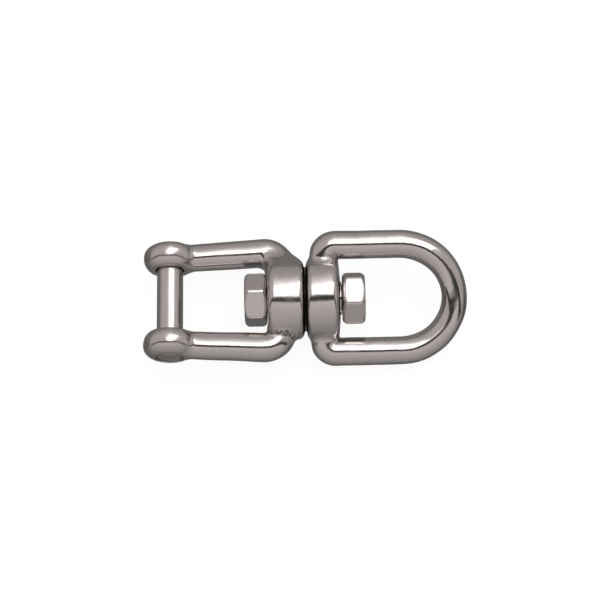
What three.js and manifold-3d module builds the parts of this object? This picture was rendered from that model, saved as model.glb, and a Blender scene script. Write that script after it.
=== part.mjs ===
// Jaw-and-eye swivel for rigging, nominal rod size 10 mm.
// A clevis fork and an eye turn against each other on one shouldered stud that is held by two nuts.
// Units are millimetres. X is the swivel axis with the jaw towards -X, Y is the clevis pin's axis,
// and Z stands at right angles to the jaw's plane. At rest the eye is turned a little out of that plane.

import * as THREE from 'three';
import { mergeVertices } from 'three/addons/utils/BufferGeometryUtils.js';
import Module from 'manifold-3d';

const wasm = await Module();
wasm.setup();

// Clearances
const runningClearance = 0.25; // radial, round the stud, the pin and the threads
const seatGap = 0.3; // between two faces that bear on each other
const hubGap = 0.9; // between the two hubs

// Hubs
const hubRadius = 14.3;
const hubInnerRound = 2.6; // edge that faces the other hub
const hubOuterRound = 1.6;
const jawHubLength = 12.75;
const eyeHubLength = 11.1;
const eyeHubCrown = 1.25; // height of the shallow cone on the eye hub's outer face
const eyeHubLand = 0.65; // width of the flat that the cone leaves round the bore, under the nut

// Jaw
const jawRodRadius = 5;
const nutSpinClearance = 2.5; // between the nut's corners and the arms
const jawElbowRadius = 6.8; // of the rod's centre line
const jawDepth = 34.8; // from the hub's outer face to the pin's axis
const cheekGap = 23.1; // between the bosses' flat faces
const bossRadius = 9.4;
const bossInner = 4.5; // from the boss's widest circle to its flat face
const bossOuter = 5.1; // from the boss's widest circle to its outer face
const cheekFlatWidth = 1.45; // of the flat ring round the pin
const bossRimWall = 1.05; // round the counterbore, at the boss's outer face
const spotFaceMargin = 0.6; // by which the cheek facing runs past the boss

// Eye
const eyeRodRadius = 5;
const eyeWidth = 27.9; // clear width
const eyeCornerRadius = 5.3; // of the rod's centre line
const eyeCrownDepth = 21.8; // from the hub's outer face to the centre of the crown's half circle
const eyeTurn = THREE.MathUtils.degToRad(22); // about the swivel axis, out of the jaw's plane, at rest

// Stud and nuts
const threadRadius = 4.8; // M10, on the stud's ends and on the pin
const studShoulder = 1.2; // from the thread out to the stud's running surface
const threadChamfer = 0.9;
const nutAcrossFlats = 17;
const nutHeight = 8;
const nutFaceMargin = 0.4; // from the nut's flats in to its round bearing face
const nutChamferAngle = Math.PI / 6;
const nutBoreChamfer = 0.6;
const studRecess = 0.2; // of the stud's ends below the nuts' outer faces

// Clevis pin
const pinThreadStep = 0.15; // from the thread down to the pin's plain shank
const pinHeadShoulder = 1.2; // from the thread out to the head
const pinHeadLength = 6;
const pinHeadRound = 0.6;
const pinHeadRecess = 0.4; // below the boss's outer face
const pinThreadSetback = 1; // of the thread's start behind the cheek's face
const socketAcrossFlats = 6;
const socketDepth = 5;
const socketConeDepth = 1.2;

// Facets
const hubFacets = 56;
const roundFacets = 40;
const rodFacets = 24;
const arcSteps = 3; // on a rounded edge
const rodStep = 2.2; // along a bent rod
const cutMargin = 2; // by which a cutting tool runs past the face that it opens

// Fits
const studRadius = threadRadius + studShoulder;
const boreRadius = studRadius + runningClearance;
const pinRadius = threadRadius - pinThreadStep;
const pinHeadRadius = threadRadius + pinHeadShoulder;
const tappedRadius = threadRadius + runningClearance;
const counterboreRadius = pinHeadRadius + runningClearance;
const cheekFlatRadius = tappedRadius + cheekFlatWidth;
const bossRimRadius = counterboreRadius + bossRimWall;
const nutCornerRadius = nutAcrossFlats / 2 / Math.cos(Math.PI / 6);

// Places along X, from the middle of the gap between the hubs
const jawFaceX = -(hubGap / 2 + jawHubLength);
const eyeFaceX = hubGap / 2 + eyeHubLength;
const eyeSeatX = eyeFaceX + eyeHubCrown;
const pinX = jawFaceX - jawDepth;
const jawLegX = jawFaceX + jawRodRadius;
const eyeLegX = eyeFaceX - eyeRodRadius;
const eyeCrownX = eyeFaceX + eyeCrownDepth;
const eyeCrownRadius = eyeWidth / 2 + eyeRodRadius;
const jawEndX = pinX - bossRadius;
const eyeEndX = eyeCrownX + eyeCrownRadius + eyeRodRadius;

// Places along Y
const cheekY = cheekGap / 2;
const bossY = cheekY + bossInner;
const bossOuterY = bossY + bossOuter;
const elbowY = nutCornerRadius + nutSpinClearance + jawRodRadius;
const headSeatY = bossOuterY - pinHeadRecess - pinHeadLength - seatGap;

class PlanarArc extends THREE.Curve {
  constructor(centre, radius, fromAngle, toAngle) {
    super();
    this.centre = centre;
    this.radius = radius;
    this.fromAngle = fromAngle;
    this.toAngle = toAngle;
  }

  getPoint(t, target = new THREE.Vector3()) {
    const angle = THREE.MathUtils.lerp(this.fromAngle, this.toAngle, t);
    const x = this.centre.x + this.radius * Math.cos(angle);
    const y = this.centre.y + this.radius * Math.sin(angle);
    return target.set(x, y, 0);
  }
}

function toSolid(geometry) {
  const bare = geometry.clone();
  bare.deleteAttribute('normal');
  bare.deleteAttribute('uv');
  const merged = mergeVertices(bare);
  const vertProperties = new Float32Array(merged.attributes.position.array);
  const triVerts = new Uint32Array(merged.index.array);
  return new wasm.Manifold(new wasm.Mesh({ numProp: 3, vertProperties, triVerts }));
}

function toGeometry(solid) {
  const mesh = solid.getMesh();
  const geometry = new THREE.BufferGeometry();
  geometry.setAttribute('position', new THREE.BufferAttribute(mesh.vertProperties, 3));
  geometry.setIndex(new THREE.BufferAttribute(mesh.triVerts, 1));
  const flat = geometry.toNonIndexed();
  flat.computeVertexNormals();
  return flat;
}

// A turned shape about Y, from a path of (radius, height) that starts and ends on the axis.
function turned(path, facets) {
  const points = path.getPoints(arcSteps);
  for (const end of [points[0], points[points.length - 1]]) {
    end.x = 0;
  }
  return new THREE.LatheGeometry(points, facets);
}

function turnedAlongX(path, facets) {
  return turned(path, facets).rotateZ(-Math.PI / 2);
}

// A plain round bar about Y between two heights.
function bar(radius, fromY, toY, facets = roundFacets) {
  const geometry = new THREE.CylinderGeometry(radius, radius, toY - fromY, facets);
  return geometry.translate(0, (fromY + toY) / 2, 0);
}

function barAlongX(radius, fromX, toX, facets = roundFacets) {
  return bar(radius, fromX, toX, facets).rotateZ(-Math.PI / 2);
}

// A hexagonal bar about Y, with two of its corners on the Z axis.
function hexBar(acrossFlats, fromY, toY) {
  return bar(acrossFlats / 2 / Math.cos(Math.PI / 6), fromY, toY, 6);
}

function bentRod(stretches, radius) {
  const path = new THREE.CurvePath();
  for (const stretch of stretches) {
    path.add(stretch);
  }
  const section = new THREE.Shape();
  section.absarc(0, 0, radius, 0, 2 * Math.PI);
  const options = {
    steps: Math.round(path.getLength() / rodStep),
    curveSegments: rodFacets / 2,
    bevelEnabled: false,
    extrudePath: path,
  };
  return new THREE.ExtrudeGeometry(section, options);
}

// A hub on the +X side of the gap, with a shallow cone of height crown on its outer face.
function hubBody(length, crown) {
  const innerX = hubGap / 2;
  const outerX = innerX + length;
  const path = new THREE.Path();
  path.moveTo(0, innerX);
  path.lineTo(hubRadius - hubInnerRound, innerX);
  path.quadraticCurveTo(hubRadius, innerX, hubRadius, innerX + hubInnerRound);
  path.lineTo(hubRadius, outerX - hubOuterRound);
  path.quadraticCurveTo(hubRadius, outerX, hubRadius - hubOuterRound, outerX);
  path.lineTo(boreRadius + eyeHubLand, outerX + crown);
  path.lineTo(0, outerX + crown);
  return toSolid(turnedAlongX(path, hubFacets));
}

function bossBody() {
  const path = new THREE.Path();
  path.moveTo(0, cheekY);
  path.lineTo(cheekFlatRadius, cheekY);
  const inner = bossRadius - cheekFlatRadius;
  path.absellipse(cheekFlatRadius, bossY, inner, bossInner, -Math.PI / 2, 0);
  const outer = bossRadius - bossRimRadius;
  path.absellipse(bossRimRadius, bossY, outer, bossOuter, 0, Math.PI / 2);
  path.lineTo(0, bossOuterY);
  return turned(path, roundFacets);
}

function jawFork() {
  const tip = new THREE.Vector3(pinX, bossY, 0);
  const elbow = new THREE.Vector3(jawLegX - jawElbowRadius, elbowY - jawElbowRadius, 0);
  const lean = Math.atan2(elbowY - bossY, elbow.x - pinX);
  const bend = new PlanarArc(elbow, jawElbowRadius, Math.PI / 2 + lean, 0);
  const legTop = new THREE.Vector3(jawLegX, elbow.y, 0);
  const legEnd = new THREE.Vector3(jawLegX, runningClearance, 0);
  const stretches = [
    new THREE.LineCurve3(tip, bend.getPoint(0)),
    bend,
    new THREE.LineCurve3(legTop, legEnd),
  ];
  const arm = toSolid(bentRod(stretches, jawRodRadius));
  const boss = toSolid(bossBody().translate(pinX, 0, 0));
  const half = arm.add(boss);
  const hub = hubBody(jawHubLength, 0).mirror([1, 0, 0]);
  const spotFace = bar(bossRadius + spotFaceMargin, -cheekY, cheekY).translate(pinX, 0, 0);
  const tappedHole = bar(tappedRadius, -bossOuterY - cutMargin, bossOuterY + cutMargin);
  const counterbore = bar(counterboreRadius, headSeatY, bossOuterY + cutMargin);
  return half
    .add(half.mirror([0, 1, 0]))
    .add(hub)
    .subtract(toSolid(spotFace))
    .subtract(toSolid(tappedHole.translate(pinX, 0, 0)))
    .subtract(toSolid(counterbore.translate(pinX, 0, 0)))
    .subtract(toSolid(barAlongX(boreRadius, jawFaceX - cutMargin, cutMargin)));
}

function eyeBow() {
  const sideY = eyeCrownRadius;
  const corner = new THREE.Vector3(eyeLegX + eyeCornerRadius, sideY - eyeCornerRadius, 0);
  const crownCentre = new THREE.Vector3(eyeCrownX, 0, 0);
  const lower = corner.clone().setY(-corner.y);
  const bend = new PlanarArc(corner, eyeCornerRadius, Math.PI, Math.PI / 2);
  const lowerBend = new PlanarArc(lower, eyeCornerRadius, -Math.PI / 2, -Math.PI);
  const crown = new PlanarArc(crownCentre, eyeCrownRadius, Math.PI / 2, -Math.PI / 2);
  const legStart = new THREE.Vector3(eyeLegX, runningClearance, 0);
  const legEnd = legStart.clone().setY(-runningClearance);
  const stretches = [
    new THREE.LineCurve3(legStart, bend.getPoint(0)),
    bend,
    new THREE.LineCurve3(bend.getPoint(1), crown.getPoint(0)),
    crown,
    new THREE.LineCurve3(crown.getPoint(1), lowerBend.getPoint(0)),
    lowerBend,
    new THREE.LineCurve3(lowerBend.getPoint(1), legEnd),
  ];
  const bow = toSolid(bentRod(stretches, eyeRodRadius));
  const hub = hubBody(eyeHubLength, eyeHubCrown);
  const bore = toSolid(barAlongX(boreRadius, -cutMargin, eyeSeatX + cutMargin));
  return bow.add(hub).subtract(bore);
}

function swivelStud() {
  const jawEnd = jawFaceX - seatGap - nutHeight + studRecess;
  const eyeEnd = eyeSeatX + seatGap + nutHeight - studRecess;
  const path = new THREE.Path();
  path.moveTo(0, jawEnd);
  path.lineTo(threadRadius - threadChamfer, jawEnd);
  path.lineTo(threadRadius, jawEnd + threadChamfer);
  path.lineTo(threadRadius, jawFaceX);
  path.lineTo(studRadius, jawFaceX);
  path.lineTo(studRadius, eyeSeatX);
  path.lineTo(threadRadius, eyeSeatX);
  path.lineTo(threadRadius, eyeEnd - threadChamfer);
  path.lineTo(threadRadius - threadChamfer, eyeEnd);
  path.lineTo(0, eyeEnd);
  return toSolid(turnedAlongX(path, roundFacets));
}

// A nut about the X axis, centred on the origin, with its flats towards +Y and -Y.
function hexNut() {
  const half = nutHeight / 2;
  const faceRadius = nutAcrossFlats / 2 - nutFaceMargin;
  const coneRadius = nutCornerRadius + cutMargin;
  const chamfer = (coneRadius - faceRadius) * Math.tan(nutChamferAngle);
  const outline = new THREE.Path();
  outline.moveTo(0, -half);
  outline.lineTo(faceRadius, -half);
  outline.lineTo(coneRadius, chamfer - half);
  outline.lineTo(coneRadius, half - chamfer);
  outline.lineTo(faceRadius, half);
  outline.lineTo(0, half);
  const bore = new THREE.Path();
  const mouthRadius = tappedRadius + nutBoreChamfer;
  bore.moveTo(0, -half - cutMargin);
  bore.lineTo(mouthRadius + cutMargin, -half - cutMargin);
  bore.lineTo(tappedRadius, nutBoreChamfer - half);
  bore.lineTo(tappedRadius, half - nutBoreChamfer);
  bore.lineTo(mouthRadius + cutMargin, half + cutMargin);
  bore.lineTo(0, half + cutMargin);
  const prism = toSolid(hexBar(nutAcrossFlats, -half, half).rotateZ(-Math.PI / 2));
  return prism
    .intersect(toSolid(turnedAlongX(outline, roundFacets)))
    .subtract(toSolid(turnedAlongX(bore, roundFacets)));
}

// The pin about the Y axis: its plain screwed end towards -Y and its socket head towards +Y.
function clevisPin() {
  const threadStart = -cheekY - pinThreadSetback;
  const headBase = headSeatY + seatGap;
  const headTop = headBase + pinHeadLength;
  const path = new THREE.Path();
  path.moveTo(0, -bossOuterY);
  path.lineTo(threadRadius - threadChamfer, -bossOuterY);
  path.lineTo(threadRadius, threadChamfer - bossOuterY);
  path.lineTo(threadRadius, threadStart);
  path.lineTo(pinRadius, threadStart);
  path.lineTo(pinRadius, headBase);
  path.lineTo(pinHeadRadius, headBase);
  path.lineTo(pinHeadRadius, headTop - pinHeadRound);
  path.quadraticCurveTo(pinHeadRadius, headTop, pinHeadRadius - pinHeadRound, headTop);
  path.lineTo(0, headTop);
  const socketFloor = headTop - socketDepth;
  const socket = toSolid(hexBar(socketAcrossFlats, socketFloor, headTop + cutMargin));
  const drillPoint = new THREE.Path();
  drillPoint.moveTo(0, socketFloor - socketConeDepth);
  drillPoint.lineTo(socketAcrossFlats / 2, socketFloor);
  drillPoint.lineTo(socketAcrossFlats / 2, socketFloor + socketConeDepth);
  drillPoint.lineTo(0, socketFloor + socketConeDepth);
  return toSolid(turned(path, roundFacets))
    .subtract(socket)
    .subtract(toSolid(turned(drillPoint, roundFacets)));
}

function finish(color, roughness) {
  return new THREE.MeshStandardMaterial({ color, roughness, metalness: 1 });
}

function piece(name, solid, material) {
  const mesh = new THREE.Mesh(toGeometry(solid), material);
  mesh.name = name;
  return mesh;
}

const jaw = piece('jaw_fork', jawFork(), finish('#a59d99', 0.26));

const eye = piece('eye_bow', eyeBow(), finish('#a8a09c', 0.24));
eye.rotation.x = eyeTurn;

const stud = piece('swivel_stud', swivelStud(), finish('#a6a4a2', 0.3));

const jawNut = piece('jaw_side_nut', hexNut(), finish('#b0aba8', 0.2));
jawNut.position.x = jawFaceX - seatGap - nutHeight / 2;

const eyeNut = piece('eye_side_nut', hexNut(), finish('#b0aba8', 0.2));
eyeNut.position.x = eyeSeatX + seatGap + nutHeight / 2;
eyeNut.rotation.x = Math.PI / 6;

const pin = piece('clevis_pin', clevisPin(), finish('#a8a5a3', 0.28));
pin.position.x = pinX;

const swivel = new THREE.Group();
swivel.add(jaw, eye, stud, jawNut, eyeNut, pin);
swivel.position.x = -(jawEndX + eyeEndX) / 2;

export default swivel;
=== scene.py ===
from math import atan2, cos, pi, radians, sin, sqrt, tan

import bpy
import numpy as np
from mathutils import Matrix, Vector


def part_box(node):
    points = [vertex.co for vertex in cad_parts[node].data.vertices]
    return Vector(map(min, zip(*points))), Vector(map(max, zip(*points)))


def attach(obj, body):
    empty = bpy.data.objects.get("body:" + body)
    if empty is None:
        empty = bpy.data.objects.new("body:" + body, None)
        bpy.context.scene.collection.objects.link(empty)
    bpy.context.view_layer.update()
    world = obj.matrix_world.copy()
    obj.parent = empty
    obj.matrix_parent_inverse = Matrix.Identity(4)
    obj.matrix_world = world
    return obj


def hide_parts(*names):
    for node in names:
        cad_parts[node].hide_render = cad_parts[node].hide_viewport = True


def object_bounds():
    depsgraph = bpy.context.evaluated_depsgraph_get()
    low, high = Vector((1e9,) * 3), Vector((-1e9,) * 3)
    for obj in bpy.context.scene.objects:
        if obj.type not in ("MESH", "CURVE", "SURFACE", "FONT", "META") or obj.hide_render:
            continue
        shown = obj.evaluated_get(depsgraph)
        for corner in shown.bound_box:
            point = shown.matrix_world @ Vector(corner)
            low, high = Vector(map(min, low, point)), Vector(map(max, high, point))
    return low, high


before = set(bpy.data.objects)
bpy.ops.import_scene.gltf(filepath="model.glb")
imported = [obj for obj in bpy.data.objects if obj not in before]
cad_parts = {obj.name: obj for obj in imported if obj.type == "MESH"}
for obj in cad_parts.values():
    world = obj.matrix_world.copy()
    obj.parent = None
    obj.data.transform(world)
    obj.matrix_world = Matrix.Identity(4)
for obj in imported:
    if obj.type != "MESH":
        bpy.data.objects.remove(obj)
cadLow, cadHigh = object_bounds()

# The modelling below is in millimetres, in the frame's own axes.
# X is the swivel axis with the jaw towards -X, Y is the clevis pin's axis.
mm = 0.001
print("frame:", ", ".join(sorted(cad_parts)))


def corners(node):
    low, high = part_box(node)
    return np.array(low) / mm, np.array(high) / mm


def around(node):
    # the node's box with a little room on every side
    low, high = corners(node)
    return low - 1, high + 1


# signed distances: each shape gives the distance of points to its surface, negative inside

def away(*parts):
    return np.sqrt(sum(part * part for part in parts))


def join(a, b, fillet):
    # union with a round fillet in the corner between the two
    reach = away(np.maximum(fillet - a, 0), np.maximum(fillet - b, 0))
    return np.maximum(fillet, np.minimum(a, b)) - reach


def meet(a, b, rounding):
    # what both share, with its edge rounded
    reach = away(np.maximum(rounding + a, 0), np.maximum(rounding + b, 0))
    return np.minimum(-rounding, np.maximum(a, b)) + reach


def cut(body, tool, rounding):
    return meet(body, -tool, rounding)


def rod(p, start, end, startRadius, endRadius):
    axis = np.subtract(end, start)
    offset = p - start
    share = np.clip(offset @ axis / (axis @ axis), 0, 1)
    nearest = offset - share[:, None] * axis
    return away(*nearest.T) - (startRadius + share * (endRadius - startRadius))


def bend(p, centre, fromAngle, toAngle, sweepRadius, rodRadius):
    # a rod bent round a centre in the XY plane; both radii are functions of the share of the turn
    x, y = p[:, 0] - centre[0], p[:, 1] - centre[1]
    middle = (fromAngle + toAngle) / 2
    turn = toAngle - fromAngle
    angle = (np.arctan2(y, x) - middle + pi) % (2 * pi) - pi
    angle = middle + np.clip(angle, -abs(turn) / 2, abs(turn) / 2)
    share = (angle - fromAngle) / turn
    sweep = sweepRadius(share)
    return away(x - sweep * np.cos(angle), y - sweep * np.sin(angle), p[:, 2]) - rodRadius(share)


def barrel(along, radius, halfLength, maxRadius, power):
    # a round body whose outline is a squared-off ellipse
    a = np.maximum(np.abs(along) / halfLength, 1e-6)
    r = np.maximum(radius / maxRadius, 1e-6)
    level = (a ** power + r ** power) ** (1 / power)
    slope = away((a / level) ** (power - 1) / halfLength, (r / level) ** (power - 1) / maxRadius)
    return (level - 1) / slope


def steady(value):
    return lambda share: value


def between(start, end):
    return lambda share: start + share * share * (3 - 2 * share) * (end - start)


def screw(radius, along, angle, pitch, depth, fade):
    # a 60 degree thread cut into a round surface; fade is 1 where the thread is at full depth
    phase = along / pitch - angle / (2 * pi)
    groove = np.abs((phase % 1) * 2 - 1)
    return radius + depth * fade * np.clip(groove * 1.25 - 0.125, 0, 1)


def smoothRise(value, start, end):
    share = np.clip((value - start) / (end - start), 0, 1)
    return share * share * (3 - 2 * share)


def patches(p, spots):
    # 1 in the middle of each spot, given as a centre and a reach, and 0 well outside them
    return sum(np.exp(-((p - centre) ** 2).sum(1) / reach ** 2) for centre, reach in spots)


def seam(a, b, fillet, reach):
    # 1 along the bottom of the fillet between two shapes, falling away on both sides of it
    bottom = fillet * (2 - sqrt(2))
    return np.exp(-np.maximum(np.abs(a) + np.abs(b) - bottom, 0) / reach)


def ripple(p, wavelength, seed):
    # gentle unevenness from a few crossed waves, between about -1 and 1
    draw = np.random.default_rng(seed)
    total = 0
    waves = 5
    for _ in range(waves):
        direction = draw.normal(size=3)
        direction *= 2 * pi / (wavelength * draw.uniform(0.7, 1.4) * sqrt(direction @ direction))
        total = total + np.sin(p @ direction + draw.uniform(0, 2 * pi))
    return total / sqrt(waves)


# meshing: a net of quads drawn over the zero level of a distance, then pulled onto it

blockSize = 4
blockReach = 1.4  # how near the surface a block is sampled finely, in blocks
slopeProbe = 0.02
leastSlope = 0.2
cubeCorners = np.array([(i, j, k) for i in (0, 1) for j in (0, 1) for k in (0, 1)])
cubeEdges = [
    (a, b) for a in range(8) for b in range(a + 1, 8)
    if np.abs(cubeCorners[a] - cubeCorners[b]).sum() == 1
]
tetra = np.array([(1, -1, -1), (-1, -1, 1), (-1, 1, -1), (1, 1, 1)], float)


def sampled(distance, low, high, step):
    blocks = np.ceil((high - low) / (step * blockSize)).astype(int)
    centre = (blockSize - 1) / 2
    blockIndex = np.stack(np.meshgrid(*map(np.arange, blocks), indexing="ij"), -1).reshape(-1, 3)
    coarse = distance(low + step * (blockIndex * blockSize + centre)).reshape(blocks)
    field = coarse.astype(np.float32)
    near = np.abs(coarse) < step * blockSize * blockReach
    for axis in range(3):
        field = field.repeat(blockSize, axis)
        near = near.repeat(blockSize, axis)
    field[near] = distance(low + step * np.argwhere(near))
    return field


def netOver(field, low, step):
    inside = field < 0
    shape = np.array(field.shape) - 1
    count = sum(inside[i:i + shape[0], j:j + shape[1], k:k + shape[2]].astype(np.int8)
                for i, j, k in cubeCorners)
    active = (count > 0) & (count < 8)
    cells = np.argwhere(active)
    values = [field[tuple((cells + corner).T)] for corner in cubeCorners]
    total = np.zeros(cells.shape)
    hits = np.zeros(len(cells))
    for a, b in cubeEdges:
        crossed = (values[a] < 0) != (values[b] < 0)
        share = np.where(crossed, values[a] / np.where(crossed, values[a] - values[b], 1), 0)
        point = cubeCorners[a] + share[:, None] * (cubeCorners[b] - cubeCorners[a])
        total += point * crossed[:, None]
        hits += crossed
    points = low + step * (cells + total / hits[:, None])
    index = np.full(active.shape, -1)
    index[active] = np.arange(len(cells))
    quads = []
    for axis in range(3):
        u, v = np.eye(3, dtype=int)[(axis + 1) % 3], np.eye(3, dtype=int)[(axis + 2) % 3]
        ahead = np.roll(inside, -1, axis)
        crossing = np.argwhere(inside != ahead)
        crossing = crossing[(crossing[:, axis] < shape[axis]) & (crossing @ (u + v) >= 0)]
        leaving = inside[tuple(crossing.T)]
        ring = [crossing - u - v, crossing - v, crossing, crossing - u]
        quad = np.stack([index[tuple(cell.T)] for cell in ring], -1)
        quad[~leaving] = quad[~leaving][:, ::-1]
        quads.append(quad)
    return points, np.concatenate(quads)


def slopes(distance, points):
    values = [distance(points + slopeProbe * corner) for corner in tetra]
    slope = sum(value[:, None] * corner for value, corner in zip(values, tetra)) / (4 * slopeProbe)
    return sum(values) / 4, slope


def settled(distance, points, rounds):
    for _ in range(rounds):
        value, slope = slopes(distance, points)
        steepness = np.maximum((slope * slope).sum(1), leastSlope)
        points = points - slope * (value / steepness)[:, None]
    return points


def evened(points, quads, share):
    # each point moves part of the way to the middle of its neighbours
    ends = np.concatenate([quads[:, [i, (i + 1) % 4]] for i in range(4)])
    ends = np.concatenate([ends, ends[:, ::-1]])
    count = np.bincount(ends[:, 0], minlength=len(points))
    sums = [np.bincount(ends[:, 0], points[ends[:, 1], axis], len(points)) for axis in range(3)]
    return points + share * (np.stack(sums, -1) / count[:, None] - points)


def modelled(name, distance, low, high, step):
    points, quads = netOver(sampled(distance, low, high, step), low, step)
    points = settled(distance, points, 3)
    for _ in range(3):
        points = settled(distance, evened(points, quads, 0.5), 1)
    points = settled(distance, points, 2)
    _, slope = slopes(distance, points)
    normals = slope / np.maximum(away(*slope.T), 1e-6)[:, None]
    mesh = bpy.data.meshes.new(name)
    mesh.from_pydata((points * mm).tolist(), [], quads.tolist())
    mesh.shade_smooth()
    mesh.normals_split_custom_set_from_vertices(normals.tolist())
    piece = bpy.data.objects.new(name, mesh)
    bpy.context.scene.collection.objects.link(piece)
    print(name, "modelled with", len(points), "points")
    return piece, points


def marked(piece, name, values):
    layer = piece.data.attributes.new(name, "FLOAT", "POINT")
    layer.data.foreach_set("value", np.asarray(values, np.float32))


# shader maths: a Wire is a node's socket that can be used in an expression

class Wire:
    def __init__(self, board, socket):
        self.board = board
        self.socket = socket

    def maths(self, operation, *values):
        return self.board.node("ShaderNodeMath", {"operation": operation}, dict(enumerate(values)))

    def __add__(self, other):
        return self.maths("ADD", self, other)

    def __sub__(self, other):
        return self.maths("SUBTRACT", self, other)

    def __rsub__(self, other):
        return self.maths("SUBTRACT", other, self)

    def __mul__(self, other):
        return self.maths("MULTIPLY", self, other)

    def __truediv__(self, other):
        return self.maths("DIVIDE", self, other)

    def __neg__(self):
        return self.maths("MULTIPLY", self, -1)

    __radd__ = __add__
    __rmul__ = __mul__

    def least(self, other):
        return self.maths("MINIMUM", self, other)

    def most(self, other):
        return self.maths("MAXIMUM", self, other)

    def size(self):
        return self.maths("ABSOLUTE", self)

    def rise(self, start, end):
        # 0 up to start and 1 from end on, smooth between
        settings = {"interpolation_type": "SMOOTHSTEP"}
        return self.board.node("ShaderNodeMapRange", settings, {0: self, 1: start, 2: end})


class Board:
    def __init__(self, tree):
        self.tree = tree
        tree.nodes.clear()

    def node(self, kind, settings=None, values=None, output=0):
        made = self.tree.nodes.new(kind)
        for name, setting in (settings or {}).items():
            if name == "stops":
                self.setStops(made.color_ramp, setting)
            else:
                setattr(made, name, setting)
        for key, value in (values or {}).items():
            if isinstance(value, Wire):
                self.tree.links.new(value.socket, made.inputs[key])
            else:
                made.inputs[key].default_value = value
        return Wire(self, made.outputs[output]) if made.outputs else None

    def setStops(self, ramp, stops):
        while len(ramp.elements) < len(stops):
            ramp.elements.new(0.5)
        for element, (place, colour) in zip(ramp.elements, stops):
            element.position = place
            element.color = (*colour, 1)

    def blend(self, share, first, second):
        settings = {"data_type": "RGBA"}
        return self.node("ShaderNodeMix", settings, {"Factor": share, 6: first, 7: second}, 2)

    def parts(self, vector):
        split = self.node("ShaderNodeSeparateXYZ", None, {0: vector}).socket.node
        return [Wire(self, output) for output in split.outputs]

    def noise(self, place, scale, detail=3.0, roughness=0.5):
        values = {"Vector": place, "Scale": scale, "Detail": detail, "Roughness": roughness}
        return self.node("ShaderNodeTexNoise", None, values)


def grey(level):
    return (level, level, level, 1)


# the studio: camera, a soft light tent all round, and a pale floor

view = {
    "elevation": radians(70),
    "roll": radians(-1.2),
    "distance": 640 * mm,
    "width": 212.8 * mm,  # seen at the swivel
    "aimX": -1.85 * mm,
    "aimUp": -0.25 * mm,
    "sensor": 36.0,
}


def placeCamera():
    towards = Vector((0, -cos(view["elevation"]), sin(view["elevation"])))
    up = Vector((0, sin(view["elevation"]), cos(view["elevation"])))
    data = bpy.data.cameras.new("camera")
    data.sensor_width = view["sensor"]
    data.lens = view["sensor"] * view["distance"] / view["width"]
    data.clip_start = view["distance"] / 100
    camera = bpy.data.objects.new("camera", data)
    aim = Vector((view["aimX"], 0, 0)) + up * view["aimUp"]
    turn = Matrix((up.cross(towards), up, towards)).transposed().to_4x4()
    camera.matrix_world = Matrix.Translation(aim + towards * view["distance"]) @ turn @ Matrix.Rotation(
        view["roll"], 4, "Z")
    bpy.context.scene.collection.objects.link(camera)
    bpy.context.scene.camera = camera


tent = {
    # lightness of the tent's walls by their angle in degrees, up from the front horizon and over the top
    "walls": [(-180, 0.34), (-140, 0.30), (-110, 0.24), (-75, 0.16), (-50, 0.18), (-36, 0.30),
              (-12, 0.40), (10, 0.49), (36, 0.57), (60, 0.68), (118, 0.56), (140, 0.50),
              (160, 0.43), (180, 0.36)],
    "warm": (1.0, 0.945, 0.925, 1),
    "cool": (0.98, 0.98, 0.96, 1),
    "warming": (-40, 0),
    # the front wall stops at a dark line below the roof and at one on each side
    "seamAngle": 72,
    "seamHalfWidth": 7.4,
    "seamLevel": 0.035,
    "sideSeam": 1.35,  # how much narrower the lines at the sides are
    "frontLeft": radians(74),
    "frontRight": radians(66),
    "sideLevel": 0.68,
    "sideBlur": (-22, 4),
    "sideTop": (75, 115),
    "seamFade": (-10, 30),
    # the window of light in the roof; it widens away from the front
    "boxLow": 82,
    "boxHigh": 111.5,
    "boxLeft": -8,
    "boxRight": 15,
    "flareLeft": 0.16,
    "flareRight": 0.62,
    "skew": 3.0,
    "skewLimits": (-6, 10),
    "lowBlur": 1.5,
    "boxLevel": 2.4,
    "boxEdge": 2.8,
    # its glow on the roof behind it
    "glow": 0.75,
    "glowStart": (100, 110),
    "glowMiddle": 4,
    "glowLevel": 1.3,
    "glowDepth": 34,
    "glowSide": 18,
    "backdrop": 1.0,
}


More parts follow.
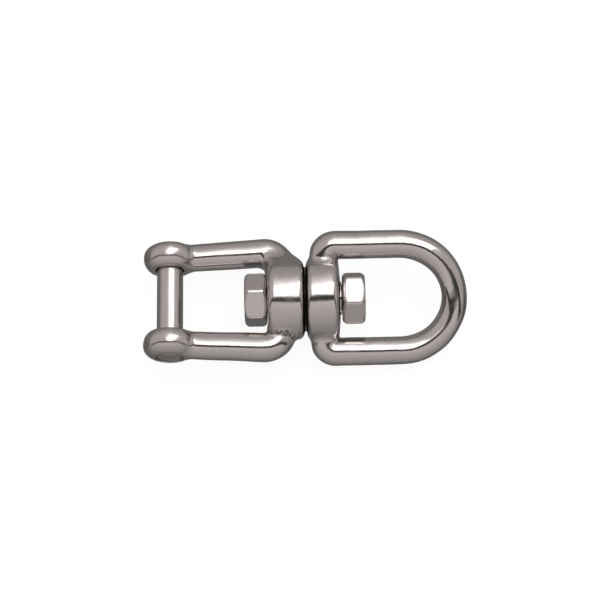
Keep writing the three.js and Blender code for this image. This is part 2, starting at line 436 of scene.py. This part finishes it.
def hangTent():
    world = bpy.data.worlds.new("studio")
    world.use_nodes = True
    bpy.context.scene.world = world
    board = Board(world.node_tree)
    direction = board.node("ShaderNodeTexCoord", None, None, "Generated")
    x, y, z = board.parts(direction)
    degree = 180 / pi
    climb = board.node("ShaderNodeMath", {"operation": "ARCTAN2"}, {0: z, 1: -y}) * degree
    sideways = board.node("ShaderNodeMath", {"operation": "ARCSINE"}, {0: x}) * degree
    stops = [((angle + 180) / 360, (level,) * 3) for angle, level in tent["walls"]]
    walls = board.node("ShaderNodeValToRGB", {"stops": stops}, {0: (climb + 180) / 360})
    tint = board.blend(climb.rise(*tent["warming"]), tent["cool"], tent["warm"])
    multiply = {"data_type": "RGBA", "blend_type": "MULTIPLY"}
    walls = board.node("ShaderNodeMix", multiply, {"Factor": 1.0, 6: walls, 7: tint}, 2)

    # angular room left before the side walls, negative on them
    leftRoom = -y * sin(tent["frontLeft"]) + x * cos(tent["frontLeft"])
    rightRoom = -y * sin(tent["frontRight"]) - x * cos(tent["frontRight"])
    room = leftRoom.least(rightRoom)
    sideRoom = board.node("ShaderNodeMath", {"operation": "ARCSINE"}, {0: room}) * degree
    sideWall = (1 - sideRoom.rise(*tent["sideBlur"])) * (1 - climb.rise(*tent["sideTop"]))
    shade = 1 - sideWall * (1 - tent["sideLevel"])
    walls = board.node("ShaderNodeVectorMath", {"operation": "SCALE"}, {0: walls, "Scale": shade})

    leastSkew, mostSkew = tent["skewLimits"]
    skew = (sideways * tent["skew"]).most(leastSkew).least(mostSkew)
    edge = tent["boxEdge"]
    far = climb - skew - tent["boxHigh"]
    glow = climb.rise(*tent["glowStart"]) * (1 - far.rise(0, tent["glowDepth"]))
    glow = glow * (1 - sideways.size().rise(tent["glowMiddle"], tent["glowSide"]))
    walls = board.blend(glow * tent["glow"], walls, grey(tent["glowLevel"]))

    width = tent["seamHalfWidth"]
    nearest = (tent["seamAngle"] - climb).least(sideRoom * tent["sideSeam"])
    line = 1 - nearest.size().rise(width * 0.7, width * 1.3)
    walls = board.blend(line * climb.rise(*tent["seamFade"]), walls, grey(tent["seamLevel"]))

    spread = climb - tent["boxLow"]
    left = sideways + spread * tent["flareLeft"] - tent["boxLeft"]
    right = sideways - spread * tent["flareRight"] - tent["boxRight"]
    box = spread.rise(-tent["lowBlur"], tent["lowBlur"]) * (1 - far.rise(-edge, edge * 1.5))
    box = box * left.rise(-edge, edge) * (1 - right.rise(-edge, edge))
    light = board.blend(box, walls, grey(tent["boxLevel"]))
    lit = board.node("ShaderNodeBackground", None, {"Color": light})
    bare = board.node("ShaderNodeBackground", None, {"Color": grey(tent["backdrop"])})
    seen = board.node("ShaderNodeLightPath", None, None, "Is Camera Ray")
    shown = board.node("ShaderNodeMixShader", None, {0: seen, 1: lit, 2: bare})
    board.node("ShaderNodeOutputWorld", None, {"Surface": shown})


floorPaper = {
    "half": 1.5,
    "grain": 900.0,
    "dark": 0.12,
    "light": 0.15,
    "roughness": 0.9,
    "glow": 0.93,
}


def layFloor():
    half = floorPaper["half"]
    mesh = bpy.data.meshes.new("floor")
    outline = [(-half, -half), (half, -half), (half, half), (-half, half)]
    mesh.from_pydata([(x, y, cadLow.z) for x, y in outline], [], [(0, 1, 2, 3)])
    floor = bpy.data.objects.new("floor", mesh)
    bpy.context.scene.collection.objects.link(floor)
    floor.visible_glossy = False
    material = bpy.data.materials.new("pale_paper")
    material.use_nodes = True
    board = Board(material.node_tree)
    place = board.node("ShaderNodeTexCoord", None, None, "Object")
    grain = board.noise(place, floorPaper["grain"])
    tone = board.blend(grain, grey(floorPaper["dark"]), grey(floorPaper["light"]))
    values = {"Base Color": tone, "Roughness": floorPaper["roughness"], "Specular IOR Level": 0.0,
              "Emission Color": grey(1.0), "Emission Strength": floorPaper["glow"]}
    surface = board.node("ShaderNodeBsdfPrincipled", None, values)
    board.node("ShaderNodeOutputMaterial", None, {"Surface": surface})
    mesh.materials.append(material)


placeCamera()
hangTent()
layFloor()
bpy.context.scene.view_settings.view_transform = "Standard"
print("studio ready")


# finishes

polished = {
    "colour": (0.655, 0.612, 0.598),
    "shades": (0.96, 1.03),  # darkest and lightest clouding of the colour
    "stain": (0.14, 0.118, 0.108),
    "stainCover": 0.9,
    # dark colour painted as shade on the hubs' facing ends and on the stud between them, in the gap
    # where little light reaches
    "grime": (0.045, 0.04, 0.038),
    "roughness": 0.10,
    "haze": 0.07,
    "grainHaze": 0.04,
    "dull": 0.3,  # added to the roughness by stain and by the painted shade in the gap between the hubs
    "satin": 0.14,
    "patch": 140.0,
    "grain": 1500.0,
    "grainHeight": 0.004 * mm,
    "peel": 420.0,
    "peelHeight": 0.012 * mm,
    "stroke": (1.0, 0.08, 0.08),
    "strokeScale": 1900.0,
    "strokeHeight": 0.0025 * mm,
    "creaseGrain": 1300.0,
    "creaseContrast": (0.36, 0.62),
    "stainEdge": (0.22, 0.42),
    "creaseHeight": 0.22 * mm,
}


patchy = (0.4, 0.7)  # where a noise starts and ends its rise when it marks out patches


def begin(name):
    material = bpy.data.materials.new(name)
    material.use_nodes = True
    board = Board(material.node_tree)
    return material, board, board.node("ShaderNodeTexCoord", None, None, "Object")


def close(board, colour, roughness, normal):
    values = {"Base Color": colour, "Metallic": 1.0, "Roughness": roughness, "Normal": normal}
    surface = board.node("ShaderNodeBsdfPrincipled", None, values)
    board.node("ShaderNodeOutputMaterial", None, {"Surface": surface})


def shaded(board, share, colour, shades):
    dark, light = ([level * part for part in colour] + [1] for level in shades)
    return board.blend(share, dark, light)


def bump(board, height, distance):
    return board.node("ShaderNodeBump", None, {"Height": height, "Distance": distance})


def polishedCasting():
    material, board, place = begin("polished_casting")
    crease = board.node("ShaderNodeAttribute", {"attribute_name": "crease"}, None, "Fac")
    clouds = board.noise(place, polished["patch"], 4.0)
    grain = board.noise(place, polished["grain"], 2.0)
    peel = board.noise(place, polished["peel"], 2.0)
    rough = board.noise(place, polished["creaseGrain"], 4.0, 0.7)
    rough = rough.rise(*polished["creaseContrast"])
    # painted shade: the hubs' facing ends are darkened and dulled towards the gap between them
    grime = board.node("ShaderNodeAttribute", {"attribute_name": "grime"}, None, "Fac")
    skin = (crease * rough).rise(*polished["stainEdge"])
    tone = shaded(board, clouds, polished["colour"], polished["shades"])
    tone = board.blend(skin * polished["stainCover"], tone, (*polished["stain"], 1))
    tone = board.blend(grime, tone, (*polished["grime"], 1))
    roughness = polished["roughness"] + polished["haze"] * clouds.rise(*patchy)
    roughness = roughness + polished["grainHaze"] * grain + polished["dull"] * skin
    satin = board.node("ShaderNodeAttribute", {"attribute_name": "satin"}, None, "Fac")
    roughness = roughness + polished["dull"] * grime + polished["satin"] * satin
    multiply = {"operation": "MULTIPLY"}
    across = board.node("ShaderNodeVectorMath", multiply, {0: place, 1: polished["stroke"]})
    strokes = board.noise(across, polished["strokeScale"], 3.0, 0.6)
    heights = grain * polished["grainHeight"] + peel * polished["peelHeight"]
    heights = heights + strokes * polished["strokeHeight"]
    heights = heights + rough * crease * polished["creaseHeight"]
    close(board, tone, roughness, bump(board, heights, 1.0))
    return material


machined = {
    "colour": (0.665, 0.625, 0.61),
    "shades": (0.94, 1.04),
    "lineShare": 0.6,  # of the shading that follows the tool marks, the rest being wear
    "roughness": 0.12,
    "wearRoughness": 0.06,
    "lineRoughness": 0.05,
    # roughness and fade of the band of painted shade on the stud between the hubs
    "paintedShadeBandRoughness": 0.5,
    "paintedShadeBandFade": 0.9,
    "markScale": 2600.0,
    "markHeight": 0.0015 * mm,
    "wear": 160.0,
}


def machinedSteel(name, stretch, paintedShadeBandReach=0):
    # tool marks run across the direction in which the place is stretched; a band of painted shade
    # darkens the surface on both sides of the swivel's middle, where it lies in the gap between the hubs
    material, board, place = begin(name)
    marks = board.node("ShaderNodeVectorMath", {"operation": "MULTIPLY"}, {0: place, 1: stretch})
    lines = board.noise(marks, machined["markScale"], 2.0, 0.6)
    wear = board.noise(place, machined["wear"], 4.0)
    share = lines * machined["lineShare"] + wear * (1 - machined["lineShare"])
    tone = shaded(board, share, machined["colour"], machined["shades"])
    roughness = machined["roughness"] + machined["wearRoughness"] * wear.rise(*patchy)
    roughness = roughness + machined["lineRoughness"] * lines
    if paintedShadeBandReach:
        # painted shade: the stud is darkened and dulled across the gap between the hubs
        paintedShadeBand = 1 - board.parts(place)[0].size().rise(paintedShadeBandReach * machined["paintedShadeBandFade"], paintedShadeBandReach)
        tone = board.blend(paintedShadeBand, tone, (*polished["grime"], 1))
        roughness = roughness.most(paintedShadeBand * machined["paintedShadeBandRoughness"])
    close(board, tone, roughness, bump(board, lines, machined["markHeight"]))
    return material


castFinish = polishedCasting()
nutFinish = machinedSteel("machined_nut", (0.05, 1.0, 1.0))
# the stud's middle gets a band of painted shade where it lies between the hubs
studFinish = machinedSteel("turned_stud", (1.0, 0.04, 0.04), 10 * mm)
pinFinish = machinedSteel("turned_pin", (0.04, 1.0, 0.04))
print("finishes ready")


def finished(piece, node, body, material):
    piece.data.materials.append(material)
    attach(piece, body)
    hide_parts(node)


# sizes that the pieces share, from the frame's boxes

jawLow, jawHigh = corners("jaw_fork")
eyeLow, eyeHigh = corners("eye_bow")
pinLow, pinHigh = corners("clevis_pin")
studLow, studHigh = corners("swivel_stud")
jawNutLow, jawNutHigh = corners("jaw_side_nut")
eyeNutLow, eyeNutHigh = corners("eye_side_nut")

seatGap = 0.3
fitGap = 0.25
paintedGapShadeReach = (0.15, 0.9)  # over which the painted gap shade fades out, from the hubs' facing ends
hubRadius = jawHigh[2]
studRadius = studHigh[2]
threadRadius = 4.8
threadPitch = 1.5
threadDepth = 0.85
tappedRadius = threadRadius + fitGap
jawFaceX = jawNutHigh[0] + seatGap
eyeSeatX = eyeNutLow[0] - seatGap
pinX = (pinLow[0] + pinHigh[0]) / 2
landRadius = 11.5
landGap = 0.05  # left between the two hubs' lands
landHeight = (eyeLow[0] - jawHigh[0] - landGap) / 2
landRound = 0.1
studBoreRound = 0.6
besideLegs = (0.35, 0.95)  # the share of a hub's round over which its edge changes

casting = {
    "swell": 0.045,
    "swellLength": 9,
    "fineSwell": 0.0045,
    "fineLength": 3.2,
}

jaw = {
    "tipRadius": 4.8,
    "armRadius": 5.2,
    "legRadius": 4.95,
    "elbowRadius": 6.2,
    "elbowY": 17.75,
    "frontRound": 2.0,
    "sideRound": 2.6,
    "outerRound": 2.4,
    "fillet": 4.2,
    "lowFillet": 1.9,
    "filletChange": (-6, 6),  # along Y, from the low fillet to the other
    "cheekY": 11.55,
    "bossInner": 4.5,
    "bossSwell": 6.1,
    "bossOuterSwell": 5.3,
    "bossPower": 2.4,
    "bossEdge": 0.6,
    "neckFillet": 1.2,
    "facing": 0.5,
    "facingRound": 0.4,
    "pinEndGap": 0.05,
    "pinBoreRound": 0.2,
    "seatRadius": 10.3,  # of the flat that the nut bears on
    "seatRound": 0.3,
    "counterboreRadius": 6.25,
    "counterboreRound": 0.4,
    "counterboreEdge": 0.35,
    "satinReach": (8.6, 9.6),  # from the pin's axis
    "creaseReach": 0.8,
    "asCast": [((-5.0, -16.0, 3.4), 2.4), ((-7.0, -14.2, 4.0), 2.0), ((-9.6, -13.7, 4.2), 1.8),
               ((-12.0, -13.6, 4.3), 1.6)],
    "step": 0.36,
}


def hub(p, outerX, side, outerRound):
    # a round hub, open towards the other hub
    return meet(away(p[:, 1], p[:, 2]) - hubRadius, (p[:, 0] - outerX) * side, outerRound)


def uneven(p, shape, seed):
    # the slight waviness that polishing leaves on a casting
    shape = shape + casting["swell"] * ripple(p, casting["swellLength"], seed)
    return shape + casting["fineSwell"] * ripple(p, casting["fineLength"], seed + 1)


def faced(p, shape, innerX, side, frontRound, sideRound):
    # cuts the face that looks at the other hub; its edge is polished away more beside the legs
    lean = np.abs(p[:, 1]) / np.maximum(away(p[:, 1], p[:, 2]), 1e-6)
    rounding = frontRound + (sideRound - frontRound) * smoothRise(lean, *besideLegs)
    return meet(shape, (innerX - p[:, 0]) * side, rounding)


def landed(p, shape, innerX, side):
    # adds the low round land that bears on the other hub
    proud = (innerX - p[:, 0]) * side
    land = np.maximum(proud - landHeight, -proud - landHeight)
    return np.minimum(shape, meet(away(p[:, 1], p[:, 2]) - landRadius, land, landRound))


def jawArm(q):
    legX = jawFaceX + jaw["legRadius"]
    elbow = np.array((legX - jaw["elbowRadius"], jaw["elbowY"] - jaw["elbowRadius"], 0.0))
    tip = np.array((pinX, jaw["cheekY"] + jaw["bossInner"], 0.0))
    lean = atan2(jaw["elbowY"] - tip[1], elbow[0] - pinX)
    top = elbow + jaw["elbowRadius"] * np.array((-sin(lean), cos(lean), 0))
    thickness = between(jaw["armRadius"], jaw["legRadius"])
    turned = bend(q, elbow, pi / 2 + lean, 0, steady(jaw["elbowRadius"]), thickness)
    arm = rod(q, tip, top, jaw["tipRadius"], jaw["armRadius"])
    leg = rod(q, (legX, elbow[1], 0.0), (legX, 0.0, 0.0), jaw["legRadius"], jaw["legRadius"])
    return np.minimum(np.minimum(arm, turned), leg)


def jawHub(p):
    return hub(p, jawFaceX, -1, jaw["outerRound"])


def jawShape(p):
    x, y, z = p.T
    side = np.abs(y)
    q = np.stack([x, side, z], -1)
    pinAway = away(x - pinX, z)
    arm = jawArm(q)
    fillet = jaw["lowFillet"] + (jaw["fillet"] - jaw["lowFillet"]) * smoothRise(y, *jaw["filletChange"])
    shape = join(arm, jawHub(p), fillet)
    shape = faced(p, shape, jawHigh[0], -1, jaw["frontRound"], jaw["sideRound"])
    bossOuterY = -pinLow[1]
    bossY = (jaw["cheekY"] + bossOuterY) / 2
    swell = np.where(side < bossY, jaw["bossSwell"], jaw["bossOuterSwell"])
    boss = barrel(side - bossY, pinAway, swell, pinX - jawLow[0], jaw["bossPower"])
    boss = meet(boss, np.maximum(jaw["cheekY"] - side, side - bossOuterY), jaw["bossEdge"])
    shape = join(shape, boss, jaw["neckFillet"])
    shape = uneven(p, shape, 3)
    facing = np.maximum(pinAway - (pinX - jawLow[0]) - jaw["facing"], side - jaw["cheekY"])
    shape = cut(shape, facing, jaw["facingRound"])
    pinBore = np.where(y < 0, threadRadius + jaw["pinEndGap"], tappedRadius)
    shape = cut(shape, pinAway - pinBore, jaw["pinBoreRound"])
    headSeat = pinHigh[1] - pin["headLength"] - seatGap
    counterbore = meet(pinAway - jaw["counterboreRadius"], headSeat - y, jaw["counterboreRound"])
    shape = cut(shape, counterbore, jaw["counterboreEdge"])
    nutSeat = np.maximum(away(y, z) - jaw["seatRadius"], x - jawFaceX)
    shape = cut(shape, nutSeat, jaw["seatRound"])
    shape = landed(p, shape, jawHigh[0], -1)
    return cut(shape, away(y, z) - studRadius - fitGap, studBoreRound)


def makeJaw():
    piece, points = modelled("jaw_casting", jawShape, *around("jaw_fork"), jaw["step"])
    q = np.stack([points[:, 0], np.abs(points[:, 1]), points[:, 2]], -1)
    pinAway = away(points[:, 0] - pinX, points[:, 2])
    marked(piece, "satin", 1 - smoothRise(pinAway, *jaw["satinReach"]))
    crease = seam(jawArm(q), jawHub(points), jaw["lowFillet"], jaw["creaseReach"])
    marked(piece, "crease", crease * np.minimum(patches(points, jaw["asCast"]), 1))
    # painted shade on the jaw hub's end that faces the gap
    marked(piece, "grime", 1 - smoothRise(jawHigh[0] - points[:, 0], *paintedGapShadeReach))
    finished(piece, "jaw_fork", "jaw", castFinish)


eye = {
    "turn": radians(22),
    "rodRadius": 5.0,
    "crownRodRadius": 4.5,
    "cornerRadius": 4.0,
    "hubFaceCone": 1.25,
    "coneRadius": 6.9,
    "hubRound": 0.3,
    "frontRound": 1.9,
    "sideRound": 2.2,
    "outerRound": 1.7,
    "fillet": 1.6,
    "creaseReach": 0.8,
    "asCast": [((9.6, 14.2, 9.6), 2.2), ((8.2, 13.6, 9.0), 1.6), ((4.3, -18.2, 1.5), 1.1)],
    "step": 0.36,
}


def eyeFrame(p):
    x, y, z = p.T
    back, up = cos(eye["turn"]), sin(eye["turn"])
    return np.stack([x, y * back + z * up, z * back - y * up], -1)


def eyeRing(p):
    q = np.stack([p[:, 0], np.abs(p[:, 1]), p[:, 2]], -1)
    thick = eye["rodRadius"]
    sideY = (eyeHigh[1] - thick) / cos(eye["turn"])
    crownX = eyeHigh[0] - sideY - thick
    legX = eyeSeatX - eye["hubFaceCone"] - thick
    corner = np.array((legX + eye["cornerRadius"], sideY - eye["cornerRadius"], 0.0))
    slim = thick - eye["crownRodRadius"]
    leg = rod(q, (legX, 0.0, 0.0), (legX, corner[1], 0.0), thick, thick)
    turned = bend(q, corner, pi, pi / 2, steady(eye["cornerRadius"]), steady(thick))
    side = rod(q, (corner[0], sideY, 0.0), (crownX, sideY, 0.0), thick, thick)
    crown = bend(q, (crownX, 0.0), pi / 2, -pi / 2,
                 lambda share: sideY + slim * np.sin(share * pi) ** 2,
                 lambda share: thick - slim * np.sin(share * pi) ** 2)
    return np.minimum(np.minimum(leg, turned), np.minimum(side, crown))


def eyeHub(p):
    radius = away(p[:, 1], p[:, 2])
    slope = eye["hubFaceCone"] / (hubRadius - eye["outerRound"] - eye["coneRadius"])
    cone = p[:, 0] - eyeSeatX + slope * (radius - eye["coneRadius"])
    body = hub(p, eyeSeatX, 1, eye["hubRound"])
    return meet(body, cone / sqrt(1 + slope * slope), eye["outerRound"])


def eyeShape(p):
    q = eyeFrame(p)
    shape = join(eyeRing(q), eyeHub(q), eye["fillet"])
    shape = faced(q, shape, eyeLow[0], 1, eye["frontRound"], eye["sideRound"])
    shape = uneven(p, shape, 8)
    shape = landed(p, shape, eyeLow[0], 1)
    bore = np.maximum(away(p[:, 1], p[:, 2]) - studRadius - fitGap, p[:, 0] - eyeNutHigh[0])
    return cut(shape, bore, studBoreRound)


def makeEye():
    piece, points = modelled("eye_casting", eyeShape, *around("eye_bow"), eye["step"])
    q = eyeFrame(points)
    crease = seam(eyeRing(q), eyeHub(q), eye["fillet"], eye["creaseReach"])
    marked(piece, "crease", crease * np.minimum(patches(points, eye["asCast"]), 1))
    # painted shade on the eye hub's end that faces the gap
    marked(piece, "grime", 1 - smoothRise(points[:, 0] - eyeLow[0], *paintedGapShadeReach))
    finished(piece, "eye_bow", "eye", castFinish)


nut = {
    "acrossFlats": 17.0,
    "faceMargin": 0.4,
    "chamfer": radians(30),
    "edge": 0.8,
    "boreChamfer": 0.6,
    "endRound": 0.2,
    "boreRound": 0.15,
    "threadShare": 0.2,  # of the full thread's depth
    "step": 0.2,
}


def nutShape(low, high, turn):
    middle = (low[0] + high[0]) / 2
    half = (high[0] - low[0]) / 2

    def distance(p):
        x, y, z = p.T
        radius = away(y, z)
        angle = np.arctan2(y, z)
        ends = np.abs(x - middle) - half
        shape = -np.full(len(p), hubRadius)
        for side in range(3):
            normal = turn + side * pi / 3
            reach = np.abs(y * cos(normal) + z * sin(normal))
            shape = meet(shape, reach - nut["acrossFlats"] / 2, nut["edge"])
        faceRadius = nut["acrossFlats"] / 2 - nut["faceMargin"]
        cone = ((radius - faceRadius) * tan(nut["chamfer"]) + ends) * cos(nut["chamfer"])
        shape = meet(meet(shape, cone, nut["edge"]), ends, nut["endRound"])
        thread = screw(tappedRadius, x, angle, threadPitch, threadDepth * nut["threadShare"], 1)
        shape = cut(shape, radius - thread, nut["boreRound"])
        mouth = (radius - tappedRadius - nut["boreChamfer"] - ends) * sqrt(0.5)
        return cut(shape, mouth, nut["boreRound"])

    return distance


def makeNuts():
    nuts = [
        ("jaw_side_nut", jawNutLow, jawNutHigh, 0),
        ("eye_side_nut", eyeNutLow, eyeNutHigh, pi / 6),
    ]
    for node, low, high, turn in nuts:
        piece, _ = modelled(node + "_machined", nutShape(low, high, turn), *around(node), nut["step"])
        finished(piece, node, "stud", nutFinish)


stud = {
    "endChamfer": 0.9,
    "edge": 0.25,
    "threadRound": 0.15,
    "endRound": 0.2,
    "step": 0.22,
}


def studShape(p):
    x, y, z = p.T
    radius = away(y, z)
    angle = np.arctan2(y, z)
    ends = np.maximum(studLow[0] - x, x - studHigh[0])
    shank = meet(radius - studRadius, np.maximum(jawFaceX - x, x - eyeSeatX), stud["edge"])
    depth = screw(threadRadius, x, angle, threadPitch, -threadDepth, 1)
    chamfer = (radius - threadRadius + stud["endChamfer"] + ends) * sqrt(0.5)
    thread = meet(meet(radius - depth, chamfer, stud["threadRound"]), ends, stud["endRound"])
    return np.minimum(shank, thread)


def makeStud():
    piece, _ = modelled("turned_swivel_stud", studShape, *around("swivel_stud"), stud["step"])
    finished(piece, "swivel_stud", "stud", studFinish)


pin = {
    "radius": 4.65,
    "headLength": 6.0,
    "headRound": 0.6,
    "headOverlap": 1,  # how far the shank runs up into the head
    "headBaseRound": 0.3,
    "threadSetback": 1.0,
    "threadRunout": 0.3,  # in pitches
    "neck": (-0.1, 0.3),
    "endChamfer": 0.2,
    "endDome": 0.9,
    "chamferRound": 0.3,
    "endRound": 0.4,
    "socketAcrossFlats": 6.0,
    "socketDepth": 5.0,
    "socketCone": 1.0,
    "socketCorner": 0.15,
    "socketEdge": 0.2,
    "socketMouth": 0.5,
    "step": 0.22,
}


def pinShape(p):
    x, y, z = p[:, 0] - pinX, p[:, 1], p[:, 2]
    radius = away(x, z)
    angle = np.arctan2(x, z)
    headBase = pinHigh[1] - pin["headLength"]
    threadEnd = -jaw["cheekY"] - pin["threadSetback"]
    dome = radius * radius * (pin["endDome"] / threadRadius ** 2)
    end = pinLow[1] + dome - y
    fade = smoothRise(-y, -threadEnd - threadPitch, -threadEnd + threadPitch * pin["threadRunout"])
    neckStart, neckEnd = pin["neck"]
    neck = smoothRise(y, threadEnd + neckStart, threadEnd + neckEnd)
    outer = threadRadius - neck * (threadRadius - pin["radius"])
    shank = radius - screw(outer, y, angle, threadPitch, -threadDepth, fade)
    chamfer = (radius - threadRadius + pin["endChamfer"] + pinLow[1] - y) * sqrt(0.5)
    shank = meet(meet(shank, chamfer, pin["chamferRound"]), end, pin["endRound"])
    shank = np.maximum(shank, y - headBase - pin["headOverlap"])
    head = meet(radius - pinHigh[2], headBase - y, pin["headBaseRound"])
    head = meet(head, y - pinHigh[1], pin["headRound"])
    shape = np.minimum(shank, head)
    socketRadius = pin["socketAcrossFlats"] / 2
    socket = -np.full(len(p), hubRadius)
    for side in range(3):
        normal = side * pi / 3
        reach = np.abs(x * cos(normal) + z * sin(normal))
        socket = meet(socket, reach - socketRadius, pin["socketCorner"])
    floor = pinHigh[1] - pin["socketDepth"] - y - (1 - radius / socketRadius) * pin["socketCone"]
    socket = np.maximum(socket, floor)
    mouth = (radius - socketRadius - pin["socketMouth"] + pinHigh[1] - y) * sqrt(0.5)
    return cut(cut(shape, socket, pin["socketEdge"]), mouth, pin["socketEdge"])


def makePin():
    piece, _ = modelled("turned_clevis_pin", pinShape, *around("clevis_pin"), pin["step"])
    finished(piece, "clevis_pin", "pin", pinFinish)


makeJaw()
makeEye()
makeNuts()
makeStud()
makePin()
